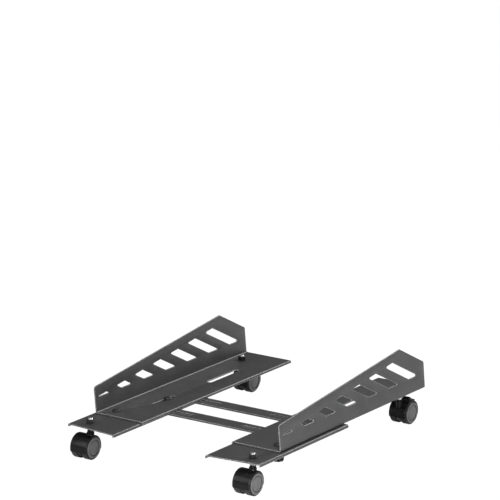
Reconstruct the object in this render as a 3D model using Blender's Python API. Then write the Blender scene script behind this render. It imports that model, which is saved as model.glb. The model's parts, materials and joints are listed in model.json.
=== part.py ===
"""Rolling stand for a desktop tower case: two steel rails joined by slotted cross bars, a windowed
side bracket sliding on each rail, and four twin-wheel casters, the rear two with a brake lever.

Frame: floor at z = 0, +X to the right hand, -Y to the front, origin under the middle of the stand.
Sizes below are in millimetres; "inboard" is measured from a rail's outer face towards the middle,
"back" from the front datum line at FRONT_Y towards the rear.
"""

import math

import bmesh
import bpy
from mathutils import Matrix, Vector

MM = 0.001

# Overall
RAIL_SPAN = 371.6         # over the outer flanges of the two rails
TOTAL_LENGTH = 499.6      # front of the caster hoods to the rear of the brackets
DECK_Z = 55.5             # top face of the rails
SHEET = 2.0               # steel sheet thickness
SLIDE_GAP = 0.3           # gap between sheets that slide on each other

# Casters: twin wheel, 40 mm
WHEEL_R = 19.5
WHEEL_WIDTH = 13.8
CASTER_WIDTH = 35.4       # over both wheels
CAP_R = 17.6              # raised outer face of a wheel, standing past the hood
CAP_RISE = 2.0
DISH_R = 11.8             # shallow dish in that face
DISH_DEPTH = 0.8
TRAIL = 13.0              # swivel axis to wheel axle
HOOD_R = 21.0
HOOD_THICK = 1.1
HOOD_DROP = 17.0          # degrees the hood reaches below the axle, front and back
WEB_THICK = 7.0
AXLE_R = 2.5
AXLE_SHORT = 3.8          # axle end inside the wheel's outer face
RUN_CLEAR = 0.06          # radial clearance of every turning fit
FIXED_CLEAR = 0.3         # radial clearance of a plain bolt hole
SOCKET_R = 5.0
SOCKET_LOW = 39.4         # clear of the wheels below it
SOCKET_TOP = 43.4
PIN_R = 2.4               # stem pin between the wheels
NECK_R = 3.4              # stem in the socket
NECK_LOW = 40.0
PIN_LOW = 30.5
THREAD_R = 4.0            # M8 stem
STEM_RISE = 8.3           # stem end above the sheet it is bolted to
STEM_NUT_ACROSS = 12.0
STEM_NUT_HEIGHT = 6.5
COLLAR_R = 4.8
COLLAR_FLANGE_R = 6.4
COLLAR_FLANGE = (47.4, 49.2)   # lower and upper face of the flange on the collar

# Rails: shallow channel, both long edges turned down as flanges
RAIL_WIDTH = 97.0         # over both flanges
RAIL_END = 251.8          # rear end of the rail, back
FLANGE_DEPTH = 5.2        # deck face to the lower edge of a flange
FLANGE_BEND = 0.8         # inside radius of the flange bends
FRONT_SETBACK = 3.0       # outer front corner, back
FRONT_RAKE = 9.0          # inner front corner ahead of the outer one
STEM_INBOARD = 28.2
STEM_BACK = 25.0

# Side brackets: flat foot on the rail, tall wedge plate with slanted windows
PLATE_INBOARD = 6.0       # outer face of the plate
PLATE_BEND = 1.6          # inside radius of the bend between foot and plate
FOOT_FLANGE = 4.2         # depth of the foot's inner flange, clear of the cross bars
BRACKET_START = 68.8
FRONT_RISE = 46.2         # plate heights above the deck
PEAK_RISE = 85.3
PEAK_BACK = 411.0
TAIL_RISE = 46.9
TAIL_BACK = 484.8
FRONT_LEAN = 5.8          # fall of the plate's front edge towards the rear, and of its tail
TAIL_LEAN = 5.9
WINDOW_COUNT = 7
WINDOW_FLOOR = 27.3       # lower edge of every window above the deck
WINDOW_RISE = 0.1245      # slope of the line through the windows' upper edges
WINDOW_APEX = 67.0        # where that line meets the lower one
WINDOW_FIRST = 73.8       # upper front corner of the first window
WINDOW_PITCH = 49.1
WINDOW_WIDTH = 21.7
WINDOW_SLANT = 0.52       # fall of the windows' slanted sides, and of the plate behind its peak
REAR_STEM_BACK = 447.0

# Clamping and guiding of the length adjustment
KNOB_BACK = 94.0
KNOB_R = 9.4
KNOB_HEIGHT = 11.0
KNOB_NECK_R = 6.2
KNOB_BOTTOM = 32.5
KNOB_LOBES = 8
KNOB_FLUTE = 0.7
BOLT_R = 3.0
BOLT_HEAD_R = 6.6
SLOT_CLEAR = 0.5          # slot wider than its bolt, each side
LENGTH_IN = 15.0          # travel of the brackets towards the front
LENGTH_OUT = 35.0         # travel of the brackets towards the rear
GUIDE_INBOARD = 57.5
GUIDE_BACK = 194.0
TAIL_SLOT = (308.0, 393.0)
TAIL_SLOT_R = 4.7

# Cross bars and the width adjustment
BAR_WIDTH = 30.0
BAR_THICK = 3.0
BAR_HALF = 120.0
FRONT_BAR_BACK = 156.0
REAR_BAR_BACK = 232.0
STUD_INBOARD = 78.0
STUD_HEAD_R = 4.8
STUD_HEAD = 1.0           # thickness of the stud's flush head
NOTCH_CLEAR = 0.6
WIDTH_IN = 55.0           # travel of each rail towards the middle
NUT_ACROSS = 10.0
NUT_HEIGHT = 5.0
WASHER_R = 7.0
WASHER_THICK = 1.2

# Brake
LEVER_WIDTH = 10.0
LEVER_PIN_R = 1.3
LEVER_PIN_BACK = 6.5      # pin position from the wheel axle
LEVER_PIN_UP = 21.4
EAR_R = 2.8
EAR_THICK = 1.8
LEVER_GAP = (99.0, 156.0) # opening in the hood, degrees about the axle from straight ahead

# Surfaces
ROUND = 24                # segments of a round part
SMALL_ROUND = 12
HOOD_STEPS = 16
SMOOTH_ANGLE = math.radians(40)

FACE_X = RAIL_SPAN / 2
ACROSS = Matrix.Rotation(math.pi / 2, 4, "Y")   # turns a shape lathed about Z to lie along X
FRONT_Y = -TOTAL_LENGTH / 2 + HOOD_R - (STEM_BACK - TRAIL)
FOOT_BOTTOM = DECK_Z + SLIDE_GAP
FOOT_TOP = FOOT_BOTTOM + SHEET
RAIL_BOTTOM = DECK_Z - SHEET
BAR_TOP = RAIL_BOTTOM - SLIDE_GAP

POWDER_BLACK = ((0.030, 0.030, 0.032, 1.0), 0.46, 0.35)
SATIN_NYLON = ((0.016, 0.016, 0.017, 1.0), 0.38, 0.0)
WHEEL_NYLON = ((0.055, 0.055, 0.057, 1.0), 0.45, 0.0)
ZINC = ((0.62, 0.63, 0.65, 1.0), 0.28, 1.0)
BLACK_ZINC = ((0.06, 0.06, 0.062, 1.0), 0.4, 0.9)


# ---------------------------------------------------------------- helpers

def clear_scene():
    for obj in list(bpy.data.objects):
        bpy.data.objects.remove(obj, do_unlink=True)


def finish(name, bm, look, place=None, parent=None, smooth=True):
    """Turn a closed bmesh in millimetres into a named object with its own material."""
    bmesh.ops.remove_doubles(bm, verts=bm.verts, dist=1e-4)
    bmesh.ops.recalc_face_normals(bm, faces=bm.faces)
    bmesh.ops.scale(bm, vec=(MM, MM, MM), verts=bm.verts)
    mesh = bpy.data.meshes.new(name)
    bm.to_mesh(mesh)
    bm.free()
    obj = bpy.data.objects.new(name, mesh)
    bpy.context.scene.collection.objects.link(obj)
    if look is not None:
        mesh.materials.append(surface(name, look))
    if smooth:
        mesh.shade_smooth()
        mesh.set_sharp_from_angle(angle=SMOOTH_ANGLE)
    if place is not None:
        obj.location = Vector(place) * MM
    obj.parent = parent
    return obj


def surface(name, look):
    colour, roughness, metallic = look
    material = bpy.data.materials.new(name)
    material.use_nodes = True
    shader = material.node_tree.nodes["Principled BSDF"]
    shader.inputs["Base Color"].default_value = colour
    shader.inputs["Roughness"].default_value = roughness
    shader.inputs["Metallic"].default_value = metallic
    return material


def empty(name, place, parent=None):
    obj = bpy.data.objects.new(name, None)
    obj.location = Vector(place) * MM
    obj.parent = parent
    bpy.context.scene.collection.objects.link(obj)
    return obj


def prism(bm, outline, depth, place=Matrix()):
    """Extrude a flat outline (x, y) by depth along +Z, then place it."""
    verts = [bm.verts.new((x, y, 0.0)) for x, y in outline]
    face = bm.faces.new(verts)
    grown = bmesh.ops.extrude_face_region(bm, geom=[face])
    top = [item for item in grown["geom"] if isinstance(item, bmesh.types.BMVert)]
    bmesh.ops.translate(bm, vec=(0, 0, depth), verts=top)
    bmesh.ops.transform(bm, matrix=place, verts=verts + top)
    return verts + top


def lathe(bm, profile, segments=ROUND, place=Matrix()):
    """Spin a profile of (radius, height) pairs about Z; it starts and ends on the axis or closes."""
    verts = [bm.verts.new((radius, 0.0, height)) for radius, height in profile]
    edges = [bm.edges.new(pair) for pair in zip(verts, verts[1:])]
    before = set(bm.verts) - set(verts)
    bmesh.ops.spin(bm, geom=verts + edges, cent=(0, 0, 0), axis=(0, 0, 1),
                   angle=2 * math.pi, steps=segments, use_merge=True)
    made = [vert for vert in bm.verts if vert not in before]
    bmesh.ops.remove_doubles(bm, verts=made, dist=1e-4)
    made = [vert for vert in bm.verts if vert not in before]
    bmesh.ops.transform(bm, matrix=place, verts=made)


def disc_profile(radius, low, high, chamfer=0.0):
    """Profile of a plain cylinder, with both rims chamfered if asked."""
    if not chamfer:
        return [(0.0, low), (radius, low), (radius, high), (0.0, high)]
    return [(0.0, low), (radius - chamfer, low), (radius, low + chamfer),
            (radius, high - chamfer), (radius - chamfer, high), (0.0, high)]


def ring_profile(inner, outer, low, high):
    return [(inner, low), (outer, low), (outer, high), (inner, high), (inner, low)]


def arc(centre, radius, start, end, steps):
    """Points on an arc, angles in degrees."""
    points = []
    for step in range(steps + 1):
        angle = math.radians(start + (end - start) * step / steps)
        points.append((centre[0] + radius * math.cos(angle), centre[1] + radius * math.sin(angle)))
    return points


def bore(radius, segments=SMALL_ROUND):
    """Radius of a faceted bore whose flats clear a pin of this radius turning inside it."""
    return (radius + RUN_CLEAR) / math.cos(math.pi / segments)


def circle(centre, radius):
    return [(centre[0] + x, centre[1] + y) for x, y in arc((0, 0), radius, 0, 360, SMALL_ROUND)[:-1]]


def stadium(centre, length, radius, steps=6):
    """Slot outline along its second axis, length measured over both round ends."""
    half = length / 2 - radius
    x, y = centre
    return arc((x, y + half), radius, 0, 180, steps) + arc((x, y - half), radius, 180, 360, steps)


def hexagon(across):
    return [(across / math.sqrt(3) * math.cos(math.radians(60 * side)),
             across / math.sqrt(3) * math.sin(math.radians(60 * side))) for side in range(6)]


def rounded(outline, radii, steps=4):
    """Replace each corner of a polygon by an arc of its radius (0 keeps it sharp)."""
    points = []
    for index, (corner, radius) in enumerate(zip(outline, radii)):
        corner = Vector(corner)
        if not radius:
            points.append(tuple(corner))
            continue
        before = (Vector(outline[index - 1]) - corner).normalized()
        after = (Vector(outline[(index + 1) % len(outline)]) - corner).normalized()
        half = before.angle(after) / 2
        centre = corner + (before + after).normalized() * (radius / math.sin(half))
        first = corner + before * (radius / math.tan(half)) - centre
        last = corner + after * (radius / math.tan(half)) - centre
        turn = first.angle_signed(last)
        for step in range(steps + 1):
            swing = -turn * step / steps
            spoke = Matrix.Rotation(swing, 2) @ first
            points.append(tuple(centre + spoke))
    return points


def boolean(target, name, bm, operation="DIFFERENCE"):
    """Apply a hidden helper shape, given in the target's own millimetres, as a Boolean modifier."""
    helper = finish(name, bm, None, smooth=False)
    helper.parent = target
    helper.hide_render = True
    helper.display_type = "WIRE"
    modifier = target.modifiers.new(name, "BOOLEAN")
    modifier.operation = operation
    modifier.object = helper
    modifier.solver = "EXACT"


def along_y(y):
    """Matrix that stands an outline given as (x, z) upright and extrudes it towards +Y."""
    return Matrix.Translation((0, y, 0)) @ Matrix(((1, 0, 0), (0, 0, 1), (0, 1, 0))).to_4x4()


def along_x(x):
    """Matrix that stands an outline given as (y, z) upright and extrudes it towards +X."""
    return Matrix.Translation((x, 0, 0)) @ Matrix(((0, 0, 1), (1, 0, 0), (0, 1, 0))).to_4x4()


def up_from(z):
    return Matrix.Translation((0, 0, z))


# ---------------------------------------------------------------- sheet metal

def sheet_section(centreline, thickness):
    """Outline of a bent sheet whose lower face follows the given points."""
    upper = []
    for index, point in enumerate(centreline):
        here = Vector(point)
        back = Vector(centreline[max(index - 1, 0)])
        ahead = Vector(centreline[min(index + 1, len(centreline) - 1)])
        inward = (here - back).normalized() if index else (ahead - here).normalized()
        outward = (ahead - here).normalized() if index < len(centreline) - 1 else inward
        normal = Vector((-(inward + outward).y, (inward + outward).x)).normalized()
        reach = thickness / max(normal.dot(Vector((-inward.y, inward.x))), 0.2)
        upper.append(tuple(here + normal * reach))
    return list(centreline) + upper[::-1]


def bend_down(face, z, direction, radius, bottom):
    """Lower-face points of a flange turned down: outer face at face, sheet underside at z."""
    centre = face - direction * (SHEET + radius)
    points = [(centre + direction * radius * math.sin(math.radians(turn)),
               z - radius + radius * math.cos(math.radians(turn))) for turn in (0, 30, 60, 90)]
    return points + [(face - direction * SHEET, bottom)]


def rail(name, side, parent):
    """Shallow channel; its own frame has x = 0 on the outer face, y = 0 on the front datum line."""
    bottom = DECK_Z - FLANGE_DEPTH
    outer_edge = bend_down(0.0, RAIL_BOTTOM, side, FLANGE_BEND, bottom)
    inner_edge = bend_down(-side * RAIL_WIDTH, RAIL_BOTTOM, -side, FLANGE_BEND, bottom)
    line = inner_edge[::-1] + outer_edge
    if side < 0:
        line = line[::-1]
    bm = bmesh.new()
    verts = prism(bm, sheet_section(line, SHEET), RAIL_END, along_y(0))
    for vert in verts:
        if vert.co.y < RAIL_END / 2:
            vert.co.y = FRONT_SETBACK + FRONT_RAKE * side * vert.co.x / RAIL_WIDTH
    obj = finish(name, bm, POWDER_BLACK, (side * FACE_X, FRONT_Y, 0), parent)

    cuts = bmesh.new()
    below = up_from(DECK_Z - 10)
    prism(cuts, circle((-side * STEM_INBOARD, STEM_BACK), THREAD_R + FIXED_CLEAR), 20, below)
    start = KNOB_BACK - LENGTH_IN - BOLT_R - SLOT_CLEAR
    end = KNOB_BACK + LENGTH_OUT + BOLT_R + SLOT_CLEAR
    slot = stadium((-side * STEM_INBOARD, (start + end) / 2), end - start, BOLT_R + SLOT_CLEAR)
    prism(cuts, slot, 20, below)
    prism(cuts, circle((-side * GUIDE_INBOARD, GUIDE_BACK), BOLT_R + FIXED_CLEAR), 20, below)
    stepped = [(0.0, DECK_Z - 10), (BOLT_R + FIXED_CLEAR, DECK_Z - 10),
               (BOLT_R + FIXED_CLEAR, DECK_Z - STUD_HEAD - SLIDE_GAP),
               (STUD_HEAD_R + FIXED_CLEAR, DECK_Z - STUD_HEAD - SLIDE_GAP),
               (STUD_HEAD_R + FIXED_CLEAR, DECK_Z + 4), (0.0, DECK_Z + 4)]
    for back in (FRONT_BAR_BACK, REAR_BAR_BACK):
        lathe(cuts, stepped, SMALL_ROUND, Matrix.Translation((-side * STUD_INBOARD, back, 0)))
    boolean(obj, name + "_cuts", cuts)
    bar_notches(obj, name, side)
    return obj


def bar_notches(rail_obj, name, side):
    """Openings in a rail's inner flange, fold included, where the cross bars pass."""
    cuts = bmesh.new()
    half = BAR_WIDTH / 2 + NOTCH_CLEAR
    fold = SHEET + FLANGE_BEND + NOTCH_CLEAR
    near, far = sorted((-side * (RAIL_WIDTH - fold), -side * (RAIL_WIDTH + fold)))
    for back in (FRONT_BAR_BACK, REAR_BAR_BACK):
        outline = [(near, back - half), (far, back - half), (far, back + half), (near, back + half)]
        prism(cuts, outline, 20, up_from(DECK_Z - 10))
    boolean(rail_obj, name + "_notches", cuts)


def bracket_outline():
    """Side plate outline as (y, z above the deck), from the front bottom round to the rear bottom."""
    corners = [(BRACKET_START, 0.0), (BRACKET_START - FRONT_LEAN, FRONT_RISE),
               (PEAK_BACK, PEAK_RISE), (TAIL_BACK, TAIL_RISE), (TAIL_BACK + TAIL_LEAN, 0.0)]
    return rounded(corners, (0, 5.0, 2.5, 5.0, 0))


def window(index):
    """One slanted window between the level lower line and the rising upper line."""
    front = WINDOW_FIRST + index * WINDOW_PITCH
    rear = front + WINDOW_WIDTH
    top_front = (front, WINDOW_FLOOR + WINDOW_RISE * (front - WINDOW_APEX))
    top_rear = (rear, WINDOW_FLOOR + WINDOW_RISE * (rear - WINDOW_APEX))
    low_front = (front + (top_front[1] - WINDOW_FLOOR) / WINDOW_SLANT, WINDOW_FLOOR)
    low_rear = (rear + (top_rear[1] - WINDOW_FLOOR) / WINDOW_SLANT, WINDOW_FLOOR)
    if index == 0:
        return [low_front, low_rear, top_rear, top_front]
    radius = 1.8 if index == WINDOW_COUNT - 1 else 0.8
    return rounded([low_front, low_rear, top_rear, top_front], (radius,) * 4, 3)


def side_bracket(name, side, parent):
    """Foot and side plate from one bent sheet, in the same frame as the rail."""
    face = -side * PLATE_INBOARD
    bend = PLATE_BEND + SHEET
    corner = [(face - side * bend * (1 - math.sin(math.radians(turn))),
               FOOT_BOTTOM + bend * (1 - math.cos(math.radians(turn)))) for turn in (0, 30, 60, 90)]
    inner = -side * (RAIL_WIDTH + SLIDE_GAP + SHEET)
    edge = bend_down(inner, FOOT_BOTTOM, -side, FLANGE_BEND, FOOT_TOP - FOOT_FLANGE)
    line = edge[::-1] + corner + [(face, DECK_Z + PEAK_RISE + 10)]
    if side < 0:
        line = line[::-1]
    bm = bmesh.new()
    start = BRACKET_START - FRONT_LEAN - 2
    prism(bm, sheet_section(line, SHEET), TAIL_BACK + TAIL_LEAN + 8 - start, along_y(start))
    obj = finish(name, bm, POWDER_BLACK, (side * FACE_X, FRONT_Y, 0), parent)

    # Only what lies inside the plate's outline is kept, and under it the foot
    outline = [(y, z + DECK_Z) for y, z in bracket_outline()]
    under = [(outline[-1][0], -10.0), (outline[0][0], -10.0)]
    keep = bmesh.new()
    prism(keep, outline + under, 140, along_x(-70 - side * 60))
    boolean(obj, name + "_outline", keep, "INTERSECT")

    cuts = bmesh.new()
    below = up_from(FOOT_BOTTOM - 4)
    for index in range(WINDOW_COUNT):
        prism(cuts, [(y, z + DECK_Z) for y, z in window(index)], 20, along_x(face - 10))
    prism(cuts, circle((-side * STEM_INBOARD, KNOB_BACK), BOLT_R + FIXED_CLEAR), 10, below)
    prism(cuts, circle((-side * STEM_INBOARD, REAR_STEM_BACK), THREAD_R + FIXED_CLEAR), 10, below)
    start = GUIDE_BACK - LENGTH_OUT - BOLT_R - SLOT_CLEAR
    end = GUIDE_BACK + LENGTH_IN + BOLT_R + SLOT_CLEAR
    guide = stadium((-side * GUIDE_INBOARD, (start + end) / 2), end - start, BOLT_R + SLOT_CLEAR)
    prism(cuts, guide, 10, below)
    tail = stadium((-side * GUIDE_INBOARD, sum(TAIL_SLOT) / 2),
                   TAIL_SLOT[1] - TAIL_SLOT[0], TAIL_SLOT_R)
    prism(cuts, tail, 10, below)
    boolean(obj, name + "_cuts", cuts)
    return obj


def cross_bar(name, back):
    """Flat strip under both rails, with a long slot at each end for the rail studs."""
    outline = [(BAR_HALF, -BAR_WIDTH / 2), (BAR_HALF, BAR_WIDTH / 2),
               (-BAR_HALF, BAR_WIDTH / 2), (-BAR_HALF, -BAR_WIDTH / 2)]
    bm = bmesh.new()
    prism(bm, rounded(outline, (4.0,) * 4, 3), BAR_THICK, up_from(BAR_TOP - BAR_THICK))
    obj = finish(name, bm, POWDER_BLACK, (0, FRONT_Y + back, 0))
    cuts = bmesh.new()
    outer = FACE_X - STUD_INBOARD + BOLT_R + SLOT_CLEAR
    inner = FACE_X - STUD_INBOARD - WIDTH_IN - BOLT_R - SLOT_CLEAR
    for side in (1, -1):
        slot = stadium((0, 0), outer - inner, BOLT_R + SLOT_CLEAR)
        turned = [(y + side * (outer + inner) / 2, -x) for x, y in slot]
        prism(cuts, turned, 10, up_from(BAR_TOP - 6))
    boolean(obj, name + "_slots", cuts)
    return obj


# ---------------------------------------------------------------- fasteners

def hex_nut(name, place, thread, top, parent, across=NUT_ACROSS, height=NUT_HEIGHT):
    """Plain nut with its upper face at top."""
    bm = bmesh.new()
    prism(bm, hexagon(across), height, up_from(top - height))
    obj = finish(name, bm, BLACK_ZINC, place, parent, smooth=False)
    cuts = bmesh.new()
    lathe(cuts, disc_profile(bore(thread), top - height - 2, top + 2), SMALL_ROUND)
    boolean(obj, name + "_bore", cuts)
    return obj


def washer(name, place, thread, outer, high, parent):
    """Flat washer with its upper face at high."""
    bm = bmesh.new()
    ring = ring_profile(thread + 0.2, outer, high - WASHER_THICK, high)
    lathe(bm, ring, SMALL_ROUND)
    return finish(name, bm, ZINC, place, parent)


def flush_stud(name, place, parent):
    """Pressed-in stud: flat head level with the deck, thread pointing down through the cross bar."""
    bottom = BAR_TOP - BAR_THICK - NUT_HEIGHT - 3
    seat = DECK_Z - STUD_HEAD
    bm = bmesh.new()
    lathe(bm, [(0.0, bottom), (BOLT_R - 0.5, bottom), (BOLT_R, bottom + 0.5), (BOLT_R, seat),
               (STUD_HEAD_R, seat), (STUD_HEAD_R, DECK_Z - 0.1), (0.0, DECK_Z - 0.1)], SMALL_ROUND)
    return finish(name, bm, BLACK_ZINC, place, parent)


def domed_bolt(name, place, parent, bottom):
    """Cup-head bolt with its head on the bracket's foot and its thread pointing down."""
    seat = FOOT_TOP + SLIDE_GAP
    dome = [(BOLT_HEAD_R * math.cos(math.radians(rise)), seat + 0.8 + 2.4 * math.sin(math.radians(rise)))
            for rise in (0, 35, 65)]
    bm = bmesh.new()
    lathe(bm, [(0.0, bottom), (BOLT_R - 0.5, bottom), (BOLT_R, bottom + 0.5), (BOLT_R, seat),
               (BOLT_HEAD_R, seat)] + dome + [(0.0, seat + 3.2)], SMALL_ROUND)
    return finish(name, bm, BLACK_ZINC, place, parent)


def thumb_knob(name, place, parent):
    """Lobed hand knob with a neck, threaded blind onto the clamp bolt from below."""
    top = BAR_TOP - WASHER_THICK - SLIDE_GAP
    rim = []
    for step in range(KNOB_LOBES * 3):
        angle = 2 * math.pi * step / (KNOB_LOBES * 3)
        radius = KNOB_R - KNOB_FLUTE * (1 - math.cos(KNOB_LOBES * angle)) / 1.5
        rim.append((radius * math.cos(angle), radius * math.sin(angle)))
    bm = bmesh.new()
    prism(bm, rim, KNOB_HEIGHT, up_from(KNOB_BOTTOM))
    obj = finish(name, bm, SATIN_NYLON, place, parent)
    bevel = obj.modifiers.new("rim", "BEVEL")
    bevel.width = 0.9 * MM
    bevel.segments = 1
    bevel.limit_method = "ANGLE"
    bevel.angle_limit = math.radians(60)
    neck = bmesh.new()
    lathe(neck, disc_profile(KNOB_NECK_R, KNOB_BOTTOM + KNOB_HEIGHT - 1, top), 18)
    boolean(obj, name + "_neck", neck, "UNION")
    hole = bmesh.new()
    lathe(hole, disc_profile(bore(BOLT_R), KNOB_BOTTOM + 3, top + 2), SMALL_ROUND)
    boolean(obj, name + "_bore", hole)
    return obj


# ---------------------------------------------------------------- casters

def caster_stem(name, place, parent, seat, roof):
    """Threaded stem: pin in the housing, collar under the sheet, thread up through the nut."""
    low = SOCKET_TOP + SLIDE_GAP
    high = seat - SLIDE_GAP - WASHER_THICK - SLIDE_GAP
    flange_low, flange_high = COLLAR_FLANGE
    top = roof + STEM_RISE
    bm = bmesh.new()
    lathe(bm, [(0.0, PIN_LOW), (PIN_R - 0.5, PIN_LOW), (PIN_R, PIN_LOW + 0.5), (PIN_R, NECK_LOW),
               (NECK_R, NECK_LOW + 1), (NECK_R, low), (COLLAR_R, low), (COLLAR_R, flange_low),
               (COLLAR_FLANGE_R, flange_low), (COLLAR_FLANGE_R, flange_high),
               (COLLAR_R, flange_high), (COLLAR_R, high), (THREAD_R, high),
               (THREAD_R, top - 0.7), (THREAD_R - 0.7, top), (0.0, top)], SMALL_ROUND)
    return finish(name, bm, ZINC, place, parent)


def about_axle(radius, start, end, steps):
    """Arc round the wheel axle in the side view (y, z), 0 degrees towards the stem."""
    return arc((-TRAIL, WHEEL_R), radius, start, end, steps)


def caster_housing(name, place, parent, heading, braked):
    """Hood over both wheels, web between them and socket for the stem.

    It is drawn with the stem axis at the origin and the wheels trailing towards -Y, then turned.
    """
    turn = Matrix.Rotation(heading, 4, "Z")
    shell = about_axle(HOOD_R, -HOOD_DROP, 180 + HOOD_DROP, HOOD_STEPS)
    shell += about_axle(HOOD_R - HOOD_THICK, 180 + HOOD_DROP, -HOOD_DROP, HOOD_STEPS)
    bm = bmesh.new()
    width = CASTER_WIDTH - 2 * CAP_RISE
    prism(bm, shell, width, turn @ along_x(-width / 2))
    obj = finish(name, bm, SATIN_NYLON, place, parent)

    web = bmesh.new()
    fin = about_axle(HOOD_R - HOOD_THICK / 2, -12, 192, HOOD_STEPS)
    fin += about_axle(AXLE_R + 4, 200, 340, 4)
    prism(web, fin, WEB_THICK, turn @ along_x(-WEB_THICK / 2))
    boolean(obj, name + "_web", web, "UNION")

    shoulder = bmesh.new()
    spine = rounded([(-6.0, 24.0), (5.0, 24.0), (5.0, SOCKET_LOW + 2), (-6.0, SOCKET_LOW + 2)],
                    (0, 2.5, 0, 0))
    prism(shoulder, spine, WEB_THICK - 0.3, turn @ along_x(-(WEB_THICK - 0.3) / 2))
    boolean(obj, name + "_shoulder", shoulder, "UNION")

    socket = bmesh.new()
    lathe(socket, disc_profile(SOCKET_R, SOCKET_LOW, SOCKET_TOP, 0.5), 18)
    boolean(obj, name + "_socket", socket, "UNION")

    if braked:
        brake_mounting(obj, name, turn)

    bores = bmesh.new()
    lathe(bores, [(0.0, PIN_LOW - 1), (bore(PIN_R), PIN_LOW - 1), (bore(PIN_R), NECK_LOW),
                  (bore(NECK_R), NECK_LOW + 1), (bore(NECK_R), SOCKET_TOP + 2),
                  (0.0, SOCKET_TOP + 2)], SMALL_ROUND)
    across = turn @ Matrix.Translation((0, -TRAIL, WHEEL_R)) @ ACROSS
    lathe(bores, disc_profile(bore(AXLE_R), -WEB_THICK, WEB_THICK), SMALL_ROUND, across)
    boolean(obj, name + "_bores", bores)
    return obj


def brake_mounting(obj, name, turn):
    """Two ears for the brake pin on top of the hood, and the opening that the lever works in."""
    pin = (-TRAIL - LEVER_PIN_BACK, WHEEL_R + LEVER_PIN_UP)
    tilt = math.degrees(math.atan2(LEVER_PIN_BACK, LEVER_PIN_UP))
    rooted = HOOD_R - HOOD_THICK / 2
    outline = arc(pin, EAR_R, tilt - 20, tilt + 200, 8) + about_axle(rooted, 102 + tilt, 78 + tilt, 2)
    ears = bmesh.new()
    for sign in (1, -1):
        start = sign * (LEVER_WIDTH / 2 + 0.4 + EAR_THICK / 2) - EAR_THICK / 2
        prism(ears, outline, EAR_THICK, turn @ along_x(start))
    boolean(obj, name + "_ears", ears, "UNION")

    gap = bmesh.new()
    reach = LEVER_WIDTH / 2 + SLIDE_GAP
    opening = about_axle(WHEEL_R + 0.25, *LEVER_GAP, 6) + about_axle(HOOD_R + 8, *LEVER_GAP[::-1], 6)
    prism(gap, opening, 2 * reach, turn @ along_x(-reach))
    boolean(obj, name + "_lever_gap", gap)

    hole = bmesh.new()
    lathe(hole, disc_profile(bore(LEVER_PIN_R), -12, 12), SMALL_ROUND,
          turn @ Matrix.Translation((0, *pin)) @ ACROSS)
    boolean(obj, name + "_pin_hole", hole)


def wheel_profile():
    """Half section as (radius, distance from the inner face): tread, raised dished cap, blind bore."""
    width = WHEEL_WIDTH
    shoulder = width - CAP_RISE
    hole = bore(AXLE_R, ROUND)
    floor = width - AXLE_SHORT + 0.4
    return [(0.0, width - DISH_DEPTH), (DISH_R, width - DISH_DEPTH), (DISH_R + 0.8, width),
            (CAP_R - 0.8, width), (CAP_R, width - 0.8), (CAP_R, shoulder - 0.3),
            (WHEEL_R - 0.6, shoulder - 0.3), (WHEEL_R, shoulder - 0.9), (WHEEL_R, 0.8),
            (WHEEL_R - 0.8, 0.0), (hole, 0.0), (hole, floor), (0.0, floor)]


def wheel(name, place, parent, side):
    """One wheel of a twin pair, facing +X for side 1 and -X for side -1."""
    inner = CASTER_WIDTH / 2 - WHEEL_WIDTH
    facing = Matrix.Rotation(side * math.pi / 2, 4, "Y")
    bm = bmesh.new()
    lathe(bm, wheel_profile(), ROUND, facing @ Matrix.Translation((0, 0, inner)))
    return finish(name, bm, WHEEL_NYLON, place, parent)


def axle(name, place, parent):
    half = CASTER_WIDTH / 2 - AXLE_SHORT
    bm = bmesh.new()
    lathe(bm, disc_profile(AXLE_R, -half, half, 0.4), SMALL_ROUND, ACROSS)
    return finish(name, bm, ZINC, place, parent)


def brake_lever(name, place, parent):
    """Foot lever: a boss on its pin, a lobe over the treads and a pedal that turns up at its tip."""
    upper = [(-2.3, 0.6), (-1.2, 2.0), (0.8, 2.3), (5.0, 1.2), (10.0, -2.2), (14.5, -6.0),
             (17.6, -7.2), (20.5, -6.4)]
    lower = [(20.8, -7.6), (17.6, -9.2), (13.6, -8.2), (9.0, -4.7), (5.6, -3.6), (3.8, -3.1),
             (1.2, -2.1), (-1.4, -1.9)]
    bm = bmesh.new()
    prism(bm, upper + lower, LEVER_WIDTH, along_x(-LEVER_WIDTH / 2))
    obj = finish(name, bm, SATIN_NYLON, place, parent)
    hole = bmesh.new()
    lathe(hole, disc_profile(bore(LEVER_PIN_R), -10, 10), SMALL_ROUND, ACROSS)
    boolean(obj, name + "_bore", hole)
    return obj


def brake_pin(name, place, parent):
    half = LEVER_WIDTH / 2 + 0.4 + EAR_THICK
    bm = bmesh.new()
    lathe(bm, disc_profile(LEVER_PIN_R, -half, half, 0.2), SMALL_ROUND, ACROSS)
    return finish(name, bm, ZINC, place, parent)


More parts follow.
